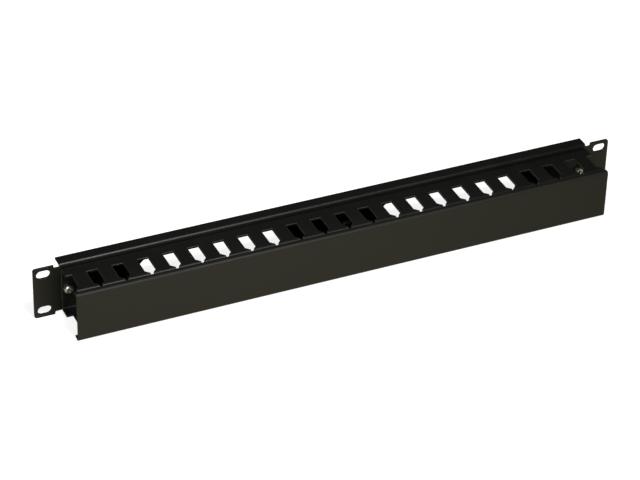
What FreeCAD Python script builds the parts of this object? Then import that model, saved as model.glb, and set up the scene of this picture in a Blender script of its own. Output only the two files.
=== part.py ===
import FreeCAD, Part
import math
import os
from FreeCAD import Vector

# Horizontal cable manager, one rack unit high, for a 19 inch rack.
# Millimetres. X runs along the rack width, +Y goes back into the rack, +Z is up.
# The origin is the centre of the rack-hole pattern on the front face of the panel.

# ---- rack panel: one folded sheet with two ears ----
HOLE_SPACING_X = 465.1     # rack standard
HOLE_SPACING_Z = 31.75     # rack standard
HOLE_L = 10.8              # oblong rack holes
HOLE_H = 6.8
EAR_OUT = 7.95             # hole centre to the ear's outer edge
EAR_IN = 12.55             # hole centre to the folded middle part
PANEL_H = 43.6             # one rack unit less its fitting gap
PANEL_T = 1.6              # sheet thickness
FLANGE_DEPTH = 10.0        # stiffening flanges, from the front face to their rear edge
EAR_CORNER_R = 2.0
RELIEF_W = 4.4             # notch that frees the bend beside each ear
RELIEF_H = 2.6
RELIEF_R = 1.0
LOWER_SETBACK = 4.0        # how much shorter the lower flange is, at each end

# ---- slotted duct: one sheet folded into a channel that opens to the front ----
DUCT_INSET = 0.6           # end of the folded middle part to the end of the duct
DUCT_H = 37.4
DUCT_T = 1.6
SLOT_PITCH = 19.9
SLOT_W = 8.8
SLOT_REAR = 11.3           # panel face to the closed end of a slot
SLOT_SIDE_END = 27.4       # panel face to where the 45 degree shoulders start
NECK_W = 2.4               # mouth between two finger tips
STEP_Y = 31.6              # panel face to the step near the finger tips
STEP_DOWN = 1.1            # how far the tips are set inward, for the cover to grip
TIP_Y = 37.6               # panel face to the ends of the tips

# ---- openings cut through the duct web and the panel together ----
WINDOW_L = 120.6
WINDOW_H = 24.0
WINDOW_PITCHES = 5         # slot pitches from the middle to each opening's centre

# ---- press-on cover: one sheet with two short returns ----
COVER_OVER = 0.1           # how much longer than the duct it is, at each end
COVER_SHIFT = -1.2         # the hand-fitted cover sits a little to the left
COVER_T = 1.2
COVER_BEND_R = 0.8         # inside radius
COVER_TOE_DEG = 14.0       # how far each return leans in from square
COVER_FRONT = 39.6         # panel face to the cover's front face
COVER_RETURN = 6.1         # cover's front face to the rear edge of a return
GRIP_GAP = 0.3             # upper finger tip to the upper return's inner edge
LOWER_GAP = 1.4            # the same below: the cover hangs on the upper fingers

# ---- fixings between duct and panel ----
SCREW_INSET = 5.4          # end of the duct to the screw beside it
MID_SCREW_X = 12.0         # clear of the slots' middle line
SCREW_D = 4.0
SCREW_HOLE_D = 4.4
HEAD_D = 8.0
HEAD_H = 2.9
RECESS_W = 4.2
RECESS_ARM = 1.1
RECESS_DEPTH = 1.7
NUT_AF = 7.0
NUT_H = 3.2
SCREW_PAST_NUT = 1.2       # thread standing out behind the nut
SCREW_END_BEVEL = 0.5

BEND_R = 0.6               # inside radius of the panel's and the duct's bends

EPS = 1.0                  # how far cutters run past the metal

# ---- values that follow from the ones above ----
PANEL_W = HOLE_SPACING_X + 2 * EAR_OUT
BODY_W = HOLE_SPACING_X - 2 * EAR_IN
DUCT_W = BODY_W - 2 * DUCT_INSET
COVER_W = DUCT_W + 2 * COVER_OVER
SLOTS_EACH_SIDE = round(DUCT_W / 2 / SLOT_PITCH)    # slots either side of the middle one
SCREW_XS = (SCREW_INSET - DUCT_W / 2, MID_SCREW_X, DUCT_W / 2 - SCREW_INSET)
DUCT_WEB_FRONT = -DUCT_T
WINDOW_X = WINDOW_PITCHES * SLOT_PITCH
TIP_OUT_Z = DUCT_H / 2 - STEP_DOWN
COVER_REAR_Y = -COVER_FRONT + COVER_RETURN
COVER_LIP_IN_Z = TIP_OUT_Z + (GRIP_GAP + LOWER_GAP) / 2    # from the cover's own middle
COVER_Z = (GRIP_GAP - LOWER_GAP) / 2


def side_points(path, bend, side):
    """Start, arcs and end of one skin of a folded strip, given its centre line."""
    segments, last = [], path[0]
    for i in range(1, len(path) - 1):
        a = (path[i] - path[i - 1]).normalize()
        b = (path[i + 1] - path[i]).normalize()
        turn = a.x * b.y - a.y * b.x
        angle = math.atan2(turn, a.dot(b))
        reach = bend * math.tan(abs(angle) / 2)
        hand = 1 if turn > 0 else -1
        start, end = path[i] - a * reach, path[i] + b * reach
        na, nb = Vector(-a.y, a.x, 0), Vector(-b.y, b.x, 0)
        centre = start + na * (hand * bend)
        mid_dir = (start - centre).normalize() + (end - centre).normalize()
        mid = centre + mid_dir.normalize() * (bend - hand * side)
        segments.append((last + na * side, start + na * side))
        segments.append((start + na * side, mid, end + nb * side))
        last = end
    b = (path[-1] - path[-2]).normalize()
    nb = Vector(-b.y, b.x, 0)
    segments.append((last + nb * side, path[-1] + nb * side))
    return segments


def folded_strip(path_yz, thickness, inside_r, x_from, x_to):
    """Sheet of constant thickness folded along a centre line and drawn out along X."""
    path = [Vector(y, z, 0) for y, z in path_yz]
    bend = inside_r + thickness / 2
    left = side_points(path, bend, thickness / 2)
    right = side_points(path, bend, -thickness / 2)
    ring = left + [(left[-1][-1], right[-1][-1])]
    ring += [tuple(reversed(s)) for s in reversed(right)]
    ring += [(right[0][0], left[0][0])]
    edges = []
    for seg in ring:
        pts = [Vector(x_from, p.x, p.y) for p in seg]
        if len(pts) == 3:
            edges.append(Part.Arc(*pts).toShape())
        else:
            edges.append(Part.makeLine(*pts))
    return Part.Face(Part.Wire(edges)).extrude(Vector(x_to - x_from, 0, 0))


def block(x0, x1, y0, y1, z0, z1):
    return Part.makeBox(x1 - x0, y1 - y0, z1 - z0, Vector(x0, y0, z0))


def obround(cx, cz, length, height, y0, y1):
    """Upright cutter with rounded ends, running through a sheet along Y."""
    r, half = height / 2, (length - height) / 2
    body = block(cx - half, cx + half, y0, y1, cz - r, cz + r)
    ends = [Part.makeCylinder(r, y1 - y0, Vector(cx + s * half, y0, cz), Vector(0, 1, 0))
            for s in (-1, 1)]
    return body.fuse(ends)


def windows(y0, y1):
    return [obround(s * WINDOW_X, 0, WINDOW_L, WINDOW_H, y0, y1) for s in (-1, 1)]


def screw_holes(y0, y1):
    return [Part.makeCylinder(SCREW_HOLE_D / 2, y1 - y0, Vector(x, y0, 0), Vector(0, 1, 0))
            for x in SCREW_XS]


def edges_along(shape, axis, x_values, z_values):
    """Edges parallel to an axis that stand on the given X and Z positions."""
    found = []
    for e in shape.Edges:
        if len(e.Vertexes) != 2:
            continue
        run = e.Vertexes[1].Point - e.Vertexes[0].Point
        at = e.CenterOfMass
        if (run.cross(axis).Length < 1e-6
                and any(abs(at.x - x) < 1e-4 for x in x_values)
                and any(abs(at.z - z) < 1e-4 for z in z_values)):
            found.append(e)
    return found


def make_panel():
    half_w, half_h, half_b = PANEL_W / 2, PANEL_H / 2, BODY_W / 2
    mid_y, flange_z = PANEL_T / 2, half_h - PANEL_T / 2

    # folded middle part: web with a flange turned back along the top and the bottom
    middle = folded_strip([(FLANGE_DEPTH, flange_z), (mid_y, flange_z),
                           (mid_y, -flange_z), (FLANGE_DEPTH, -flange_z)],
                          PANEL_T, BEND_R, -half_b, half_b)
    web_z = half_h - RELIEF_H
    for x0, x1 in ((-half_b - EPS, LOWER_SETBACK - half_b), (half_b - LOWER_SETBACK, half_b + EPS)):
        middle = middle.cut(block(x0, x1, -EPS, FLANGE_DEPTH + EPS, -half_h - EPS, -web_z))

    # flat ears, in one sheet with the web
    ears = block(-half_w, half_w, 0, PANEL_T, -web_z, web_z)
    for s in (-1, 1):
        x_in, x_out = sorted((s * (half_b + RELIEF_W), s * half_w))
        ears = ears.fuse(block(x_in, x_out, 0, PANEL_T, -half_h, half_h))
    ears = ears.removeSplitter()
    across = Vector(0, 1, 0)
    ears = ears.makeFillet(EAR_CORNER_R, edges_along(
        ears, across, (-half_w, half_w), (-half_h, half_h)))
    relief_x = half_b + RELIEF_W
    ears = ears.makeFillet(RELIEF_R, edges_along(
        ears, across, (-relief_x, relief_x), (-web_z, web_z)))
    panel = ears.fuse(middle).removeSplitter()

    # oblong rack holes, openings and screw holes
    y0, y1 = -EPS, PANEL_T + EPS
    cuts = [obround(sx * HOLE_SPACING_X / 2, sz * HOLE_SPACING_Z / 2, HOLE_L, HOLE_H, y0, y1)
            for sx in (-1, 1) for sz in (-1, 1)]
    return panel.cut(cuts + windows(y0, y1) + screw_holes(y0, y1)).removeSplitter()


def finger_slot(cx):
    """Cutter for one slot: closed rear end, straight sides, shoulders, open neck."""
    w, n = SLOT_W / 2, NECK_W / 2
    rear, side, front = -SLOT_REAR, -SLOT_SIDE_END, -(TIP_Y + EPS)
    neck = side - (w - n)
    outline = [(w, rear), (w, side), (n, neck), (n, front),
               (-n, front), (-n, neck), (-w, side), (-w, rear)]
    z0 = -(DUCT_H / 2 + EPS)
    pts = [Vector(cx + x, y, z0) for x, y in outline]
    return Part.Face(Part.makePolygon(pts + pts[:1])).extrude(Vector(0, 0, -2 * z0))


def make_duct():
    flange_z = DUCT_H / 2 - DUCT_T / 2
    tip_z = flange_z - STEP_DOWN
    web_y = -DUCT_T / 2

    # channel section, from the top finger tips round the web to the bottom finger tips
    top = [(-TIP_Y, tip_z), (-STEP_Y - STEP_DOWN / 2, tip_z), (-STEP_Y + STEP_DOWN / 2, flange_z),
           (web_y, flange_z)]
    bottom = [(y, -z) for y, z in reversed(top)]
    duct = folded_strip(top + bottom, DUCT_T, BEND_R, -DUCT_W / 2, DUCT_W / 2)

    slots = [finger_slot(i * SLOT_PITCH)
             for i in range(-SLOTS_EACH_SIDE, SLOTS_EACH_SIDE + 1)]
    y0, y1 = DUCT_WEB_FRONT - EPS, EPS
    return duct.cut(slots + windows(y0, y1) + screw_holes(y0, y1)).removeSplitter()


def make_cover():
    toe = math.radians(COVER_TOE_DEG)
    front_y = -COVER_FRONT + COVER_T / 2
    lip_z = COVER_LIP_IN_Z + COVER_T / 2 / math.cos(toe)
    corner_z = lip_z + (COVER_REAR_Y - front_y) * math.tan(toe)
    x0 = COVER_SHIFT - COVER_W / 2
    path = [(COVER_REAR_Y, lip_z), (front_y, corner_z), (front_y, -corner_z), (COVER_REAR_Y, -lip_z)]
    path = [(y, COVER_Z + z) for y, z in path]
    return folded_strip(path, COVER_T, COVER_BEND_R, x0, x0 + COVER_W)


def make_screw(x):
    """Pan-head screw, driven from the front, with a cross recess."""
    seat, head, shank = DUCT_WEB_FRONT, HEAD_D / 2, SCREW_D / 2
    tail = PANEL_T + NUT_H + SCREW_PAST_NUT

    # half section, turned round the screw's axis: flat-topped round head, shank, bevelled end
    half = [(0, seat - HEAD_H), (0.62 * head, seat - HEAD_H), (0.88 * head, seat - 0.78 * HEAD_H),
            (head, seat - 0.38 * HEAD_H), (head, seat), (shank, seat),
            (shank, tail - SCREW_END_BEVEL), (shank - SCREW_END_BEVEL, tail), (0, tail)]
    section = Part.makePolygon([Vector(x + r, y, 0) for r, y in half + half[:1]])
    screw = Part.Face(section).revolve(Vector(x, 0, 0), Vector(0, 1, 0), 360)

    y_top, y_floor = seat - HEAD_H - EPS, seat - HEAD_H + RECESS_DEPTH
    w, a = RECESS_W / 2, RECESS_ARM / 2
    recess = block(x - w, x + w, y_top, y_floor, -a, a).fuse(
        block(x - a, x + a, y_top, y_floor, -w, w))
    return screw.cut(recess).removeSplitter()


def make_nut(x):
    """Hexagon nut behind the panel, its bore cut to the screw's own diameter."""
    across_corners = NUT_AF / math.cos(math.pi / 6)
    corners = [Vector(x + across_corners / 2 * math.cos(math.radians(60 * k)), PANEL_T,
                      across_corners / 2 * math.sin(math.radians(60 * k))) for k in range(7)]
    prism = Part.Face(Part.makePolygon(corners)).extrude(Vector(0, NUT_H, 0))
    cone = Part.makeCone(NUT_AF / 2 + NUT_H * 1.8, NUT_AF / 2 * 0.98, NUT_H,
                         Vector(x, PANEL_T, 0), Vector(0, 1, 0))
    bore = Part.makeCylinder(SCREW_D / 2, NUT_H + 2 * EPS, Vector(x, PANEL_T - EPS, 0),
                             Vector(0, 1, 0))
    return prism.common(cone).cut(bore)


os.makedirs("parts", exist_ok=True)
make_panel().exportStep("parts/rack_panel.step")
make_duct().exportStep("parts/finger_duct.step")
make_cover().exportStep("parts/front_cover.step")
Part.makeCompound([make_screw(x) for x in SCREW_XS]).exportStep("parts/duct_screws.step")
Part.makeCompound([make_nut(x) for x in SCREW_XS]).exportStep("parts/duct_nuts.step")
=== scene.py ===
import bpy
import math
from mathutils import Matrix, Vector


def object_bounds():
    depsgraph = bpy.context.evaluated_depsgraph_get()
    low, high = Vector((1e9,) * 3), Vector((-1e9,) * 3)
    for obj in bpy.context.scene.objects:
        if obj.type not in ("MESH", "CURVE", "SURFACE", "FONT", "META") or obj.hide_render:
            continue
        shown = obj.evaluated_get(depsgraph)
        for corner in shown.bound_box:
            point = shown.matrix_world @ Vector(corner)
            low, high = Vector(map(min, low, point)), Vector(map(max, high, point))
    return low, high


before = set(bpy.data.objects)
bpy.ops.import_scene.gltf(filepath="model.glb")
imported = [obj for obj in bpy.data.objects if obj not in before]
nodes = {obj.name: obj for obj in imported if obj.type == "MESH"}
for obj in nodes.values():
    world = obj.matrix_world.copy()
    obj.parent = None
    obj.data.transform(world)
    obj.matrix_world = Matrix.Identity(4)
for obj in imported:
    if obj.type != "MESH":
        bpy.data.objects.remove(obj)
cad_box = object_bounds()


# Rack panel. One sheet of 1.6 mm steel with two flat ears and its long edges turned back as
# stiffening flanges, punched, folded and then powder-coated black.

def node_tree(owner):
    """Empty node tree of a material or of the world."""
    owner.use_nodes = True
    owner.node_tree.nodes.clear()
    return owner.node_tree


def group_tree(name, inputs, outputs):
    tree = bpy.data.node_groups.new(name, "ShaderNodeTree")
    for socket, kind, value in inputs:
        tree.interface.new_socket(socket, in_out="INPUT", socket_type=kind).default_value = value
    for socket, kind in outputs:
        tree.interface.new_socket(socket, in_out="OUTPUT", socket_type=kind)
    return tree, tree.nodes.new("NodeGroupInput"), tree.nodes.new("NodeGroupOutput")


def math_node(tree, operation, a, b, clamp=False):
    """Sum, difference or product of two sockets or plain numbers."""
    n = tree.nodes.new("ShaderNodeMath")
    n.operation, n.use_clamp = operation, clamp
    for socket, value in zip(n.inputs, (a, b)):
        if isinstance(value, (int, float)):
            socket.default_value = value
        else:
            tree.links.new(value, socket)
    return n.outputs[0]


def ramp_node(tree, value, low, high):
    """0 where the value is low, 1 where it is high."""
    n = tree.nodes.new("ShaderNodeMapRange")
    n.inputs["From Min"].default_value = low
    n.inputs["From Max"].default_value = high
    tree.links.new(value, n.inputs["Value"])
    return n.outputs["Result"]


def noise_node(tree, coords, scale, detail, rough):
    n = tree.nodes.new("ShaderNodeTexNoise")
    n.inputs["Scale"].default_value = scale
    n.inputs["Detail"].default_value = detail
    n.inputs["Roughness"].default_value = rough
    tree.links.new(coords, n.inputs["Vector"])
    return n.outputs["Fac"]


def colour_mix(tree, factor, a, b):
    """Blend of two colours, each a socket or a plain colour."""
    n = tree.nodes.new("ShaderNodeMix")
    n.data_type = "RGBA"
    tree.links.new(factor, n.inputs["Factor"])
    for socket, value in ((n.inputs["A"], a), (n.inputs["B"], b)):
        if isinstance(value, tuple):
            socket.default_value = (*value, 1)
        else:
            tree.links.new(value, socket)
    return n.outputs["Result"]


def bump_normal(tree, height, strength, depth, normal=None):
    n = tree.nodes.new("ShaderNodeBump")
    n.inputs["Strength"].default_value = strength
    n.inputs["Distance"].default_value = depth
    tree.links.new(height, n.inputs["Height"])
    if normal is not None:
        tree.links.new(normal, n.inputs["Normal"])
    return n.outputs["Normal"]


def surface(tree, shader):
    out = tree.nodes.new("ShaderNodeOutputMaterial")
    tree.links.new(shader.outputs[0], out.inputs["Surface"])


def dress(name, material):
    for slot in nodes[name].material_slots:
        slot.material = material


def powder_coat_skin():
    """Colour, gloss and leathery relief of a baked coat, with handling smears and dust."""
    tree, given, out = group_tree(
        "powder_coat_skin",
        [("Deep Colour", "NodeSocketColor", (0.006, 0.006, 0.005, 1)),
         ("Worn Colour", "NodeSocketColor", (0.013, 0.013, 0.010, 1)),
         ("Base Roughness", "NodeSocketFloat", 0.45),
         ("Dust", "NodeSocketFloat", 0.15)],
        [("Colour", "NodeSocketColor"), ("Roughness", "NodeSocketFloat"),
         ("Height", "NodeSocketFloat")])
    given, out = given.outputs, out.inputs
    place = tree.nodes.new("ShaderNodeTexCoord").outputs["Object"]
    grain = noise_node(tree, place, 1900.0, 2.0, 0.6)
    flow = noise_node(tree, place, 260.0, 2.0, 0.5)
    cloud = noise_node(tree, place, 26.0, 4.0, 0.6)
    along = tree.nodes.new("ShaderNodeMapping")
    along.inputs["Scale"].default_value = (0.35, 1.0, 1.3)
    tree.links.new(place, along.inputs["Vector"])
    smear = ramp_node(tree, noise_node(tree, along.outputs["Vector"], 60.0, 5.0, 0.65), 0.52, 0.78)
    speck = ramp_node(tree, noise_node(tree, place, 1400.0, 1.0, 0.5), 0.70, 0.80)

    smeared = math_node(tree, "MULTIPLY", smear, given["Dust"])
    specked = math_node(tree, "MULTIPLY", speck, given["Dust"])
    wear = math_node(tree, "ADD", math_node(tree, "MULTIPLY", cloud, 0.35), smeared, clamp=True)
    wear = math_node(tree, "ADD", wear, specked, clamp=True)
    tree.links.new(colour_mix(tree, wear, given["Deep Colour"], given["Worn Colour"]),
                   out["Colour"])

    uneven = math_node(tree, "MULTIPLY", math_node(tree, "SUBTRACT", cloud, 0.5), 0.22)
    rough = math_node(tree, "ADD", given["Base Roughness"], uneven)
    rough = math_node(tree, "ADD", rough, math_node(tree, "MULTIPLY", smear, 0.08), clamp=True)
    tree.links.new(rough, out["Roughness"])
    tree.links.new(math_node(tree, "ADD", math_node(tree, "MULTIPLY", grain, 0.45), flow),
                   out["Height"])
    return tree


coat = powder_coat_skin()


def coated_steel(name, deep, worn, roughness, dust, edge_radius, edge_highlight):
    """Powder-coated sheet whose coat rounds the sheared edges, with a painted highlight of light
    grey along them.
    """
    # Light grey painted along the sheared edges: a painted highlight for the light that the edges
    # catch.
    edge_highlight_grey = (0.105, 0.101, 0.086)
    material = bpy.data.materials.new(name)
    tree = node_tree(material)
    skin = tree.nodes.new("ShaderNodeGroup")
    skin.node_tree = coat
    skin.inputs["Deep Colour"].default_value = (*deep, 1)
    skin.inputs["Worn Colour"].default_value = (*worn, 1)
    skin.inputs["Base Roughness"].default_value = roughness
    skin.inputs["Dust"].default_value = dust

    edge = tree.nodes.new("ShaderNodeBevel")
    edge.samples = 6
    edge.inputs["Radius"].default_value = edge_radius
    facing = tree.nodes.new("ShaderNodeVectorMath")
    facing.operation = "DOT_PRODUCT"
    tree.links.new(edge.outputs["Normal"], facing.inputs[0])
    tree.links.new(tree.nodes.new("ShaderNodeNewGeometry").outputs["True Normal"], facing.inputs[1])
    at_edge = ramp_node(tree, facing.outputs["Value"], 0.98, 0.72)
    # How strongly the painted highlight grey is laid on at the edges.
    painted_highlight = math_node(tree, "MULTIPLY", at_edge, edge_highlight)

    shader = tree.nodes.new("ShaderNodeBsdfPrincipled")
    shader.inputs["IOR"].default_value = 1.5
    tree.links.new(colour_mix(tree, painted_highlight, skin.outputs["Colour"], edge_highlight_grey),
                   shader.inputs["Base Color"])
    tree.links.new(skin.outputs["Roughness"], shader.inputs["Roughness"])
    tree.links.new(bump_normal(tree, skin.outputs["Height"], 0.35, 0.00012, edge.outputs["Normal"]),
                   shader.inputs["Normal"])
    surface(tree, shader)
    return material


# The panel's sheared edges carry a faint painted highlight of light grey.
dress("rack_panel", coated_steel(
    "panel_powder_coat", deep=(0.0055, 0.0057, 0.0046), worn=(0.0125, 0.0125, 0.0100),
    roughness=0.42, dust=0.16, edge_radius=0.0005, edge_highlight=0.15))


# Finger duct. One steel channel with cable slots punched through both flanges before folding,
# coated like the panel and screwed to its front.
# The duct's slot edges carry the full painted highlight of light grey, for the light that their cut
# faces catch.
dress("finger_duct", coated_steel(
    "duct_powder_coat", deep=(0.0055, 0.0057, 0.0046), worn=(0.0120, 0.0120, 0.0095),
    roughness=0.44, dust=0.12, edge_radius=0.0008, edge_highlight=1.0))


# Duct fixings. Three cross-recessed pan-head screws with hexagon nuts behind the panel,
# of steel with a bright zinc plating.
def zinc(name, colour, roughness):
    dull = tuple(c * 0.72 for c in colour)
    material = bpy.data.materials.new(name)
    tree = node_tree(material)
    place = tree.nodes.new("ShaderNodeTexCoord").outputs["Object"]
    spangle = noise_node(tree, place, 900.0, 3.0, 0.6)
    scuff = noise_node(tree, place, 2600.0, 2.0, 0.7)
    shader = tree.nodes.new("ShaderNodeBsdfPrincipled")
    shader.inputs["Metallic"].default_value = 1.0
    tree.links.new(colour_mix(tree, spangle, dull, colour), shader.inputs["Base Color"])
    tree.links.new(math_node(tree, "ADD", roughness, math_node(tree, "MULTIPLY", scuff, 0.12)),
                   shader.inputs["Roughness"])
    tree.links.new(bump_normal(tree, scuff, 0.25, 0.00005), shader.inputs["Normal"])
    surface(tree, shader)
    return material


dress("duct_screws", zinc("screw_zinc", colour=(0.86, 0.86, 0.83), roughness=0.30))
dress("duct_nuts", zinc("nut_zinc", colour=(0.66, 0.66, 0.64), roughness=0.30))


# Front cover. One sheet of 1.2 mm steel with a short return along each long edge, coated like the
# rest but a little duller, and pressed on the finger tips by hand. Its coat colours are set lighter
# than the panel's: painted light standing in for the light that falls on its front face. A faint
# painted highlight of light grey runs along its edges.
dress("front_cover", coated_steel(
    "cover_powder_coat", deep=(0.0074, 0.0071, 0.0048), worn=(0.0155, 0.0149, 0.0105),
    roughness=0.60, dust=0.20, edge_radius=0.0003, edge_highlight=0.05))


# Table. A plain white sheet that the part stands on. It looks white to the camera and keeps the
# part's shadow, and the light that it throws back on the part is a little warm.
TABLE_HALF = 12.0
TABLE_WHITE = (0.8, 0.8, 0.8)
TABLE_BOUNCE = (0.76, 0.71, 0.50)
TABLE_GLOW = 0.85


def camera_ray(tree):
    return tree.nodes.new("ShaderNodeLightPath").outputs["Is Camera Ray"]


def square(name, half, z):
    mesh = bpy.data.meshes.new(name)
    mesh.from_pydata([(-half, -half, z), (half, -half, z), (half, half, z), (-half, half, z)],
                     [], [(0, 1, 2, 3)])
    obj = bpy.data.objects.new(name, mesh)
    bpy.context.scene.collection.objects.link(obj)
    return obj


table = square("white_paper", TABLE_HALF, cad_box[0].z)
paper_white = bpy.data.materials.new("paper_white")
paper_tree = node_tree(paper_white)
seen = camera_ray(paper_tree)
paper_matt = paper_tree.nodes.new("ShaderNodeBsdfDiffuse")
paper_tree.links.new(colour_mix(paper_tree, seen, TABLE_BOUNCE, TABLE_WHITE),
                     paper_matt.inputs["Color"])
paper_glow = paper_tree.nodes.new("ShaderNodeEmission")
paper_tree.links.new(math_node(paper_tree, "MULTIPLY", seen, TABLE_GLOW),
                     paper_glow.inputs["Strength"])
paper_sum = paper_tree.nodes.new("ShaderNodeAddShader")
paper_tree.links.new(paper_matt.outputs["BSDF"], paper_sum.inputs[0])
paper_tree.links.new(paper_glow.outputs["Emission"], paper_sum.inputs[1])
surface(paper_tree, paper_sum)
table.data.materials.append(paper_white)


# Room. White where the camera looks past the table, and otherwise dim, so that the softboxes do
# the lighting.
ROOM_DIM = 0.035
world = bpy.data.worlds.new("studio_room")
bpy.context.scene.world = world
room_tree = node_tree(world)
room = room_tree.nodes.new("ShaderNodeBackground")
room.inputs["Color"].default_value = (1, 1, 1, 1)
room_tree.links.new(math_node(room_tree, "ADD", math_node(
    room_tree, "MULTIPLY", camera_ray(room_tree), 1 - ROOM_DIM), ROOM_DIM), room.inputs["Strength"])
room_out = room_tree.nodes.new("ShaderNodeOutputWorld")
room_tree.links.new(room.outputs["Background"], room_out.inputs["Surface"])


# Softboxes. A key light close above the front of the part, and a small one at the front left that
# reaches into the open end of the duct.
def softbox(name, at, aim, size_x, size_y, watts):
    data = bpy.data.lights.new(name, "AREA")
    data.shape, data.size, data.size_y, data.energy = "RECTANGLE", size_x, size_y, watts
    obj = bpy.data.objects.new(name, data)
    bpy.context.scene.collection.objects.link(obj)
    obj.location = at
    obj.rotation_mode = "QUATERNION"
    obj.rotation_quaternion = (Vector(aim) - Vector(at)).to_track_quat("-Z", "Y")


softbox("key_softbox", (-0.07, -0.38, 0.60), (-0.04, -0.06, 0.0), 0.30, 0.22, 4.0)
softbox("side_softbox", (-0.62, -1.00, 0.32), (-0.15, 0.0, 0.0), 0.3, 0.3, 2.6)


# Camera. It stands to the left of the part and above it, where the whole length of the cover and
# the row of slots are seen, and is rolled a little.
AZIMUTH = math.radians(-25.10)
ELEVATION = math.radians(34.40)
ROLL = math.radians(1.68)
DISTANCE = 1.95984
AIM = Vector((-0.00949, 0.0, -0.01121))
LENS_PER_WIDTH = 2551.74 / 640
HALF_DOT = 0.5 / 640

camera_data = bpy.data.cameras.new("camera")
camera_data.lens = LENS_PER_WIDTH * camera_data.sensor_width
camera_data.shift_x = -HALF_DOT
camera_data.shift_y = HALF_DOT
camera = bpy.data.objects.new("camera", camera_data)
bpy.context.scene.collection.objects.link(camera)
back = Vector((math.sin(AZIMUTH) * math.cos(ELEVATION), -math.cos(AZIMUTH) * math.cos(ELEVATION),
               math.sin(ELEVATION)))
level_right = Vector((0, 0, 1)).cross(back).normalized()
level_up = back.cross(level_right)
camera_right = level_right * math.cos(ROLL) + level_up * math.sin(ROLL)
camera_up = level_up * math.cos(ROLL) - level_right * math.sin(ROLL)
camera.location = AIM + back * DISTANCE
camera.rotation_mode = "QUATERNION"
camera.rotation_quaternion = Matrix((camera_right, camera_up, back)).transposed().to_quaternion()
bpy.context.scene.camera = camera
bpy.context.scene.view_settings.view_transform = "Standard"
